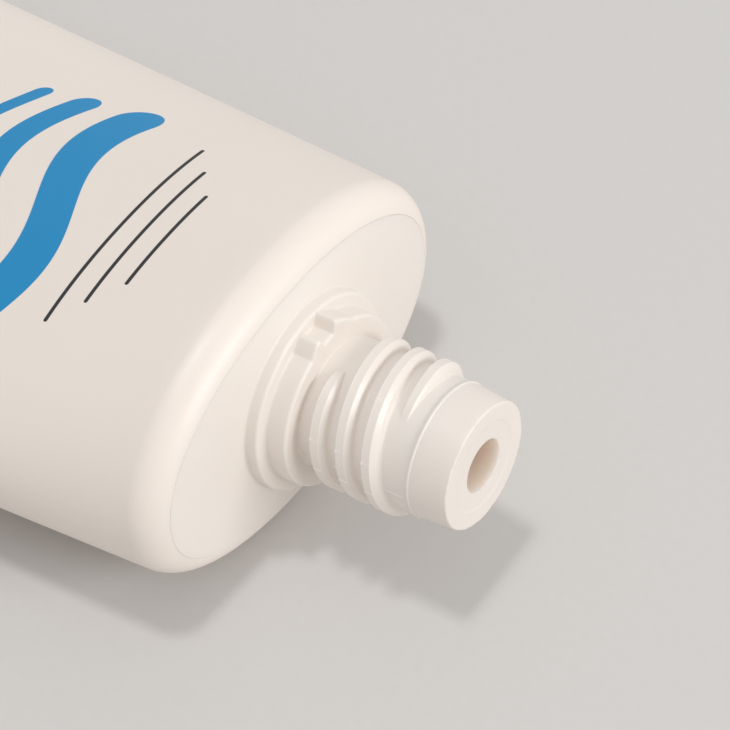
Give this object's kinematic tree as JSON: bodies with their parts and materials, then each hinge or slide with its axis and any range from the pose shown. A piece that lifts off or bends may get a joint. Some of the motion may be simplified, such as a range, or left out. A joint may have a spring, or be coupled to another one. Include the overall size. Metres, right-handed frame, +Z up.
{
  "type": "cosmetic tube",
  "caption": "Oval squeeze tube for cream with a flat sealed tail, rounded shoulder, threaded neck with collar stops and a press-in nozzle, lying on its broad side.",
  "frame": {"origin": "centre of the bounding box, on the surface that the tube lies on", "axes": "+X towards the nozzle tip, +Y across the broad side, +Z up from the surface; the neck axis points up by 7.3 degrees from +X"},
  "size_m": [0.1284, 0.0582, 0.0282],
  "materials": {
    "sleeve_plastic": "satin white",
    "head_plastic": "satin white",
    "insert_plastic": "satin white"
  },
  "bodies": {
    "root": {"tube_sleeve": "sleeve_plastic", "shoulder_head": "head_plastic", "nozzle_insert": "insert_plastic"}
  },
  "joints": []
}
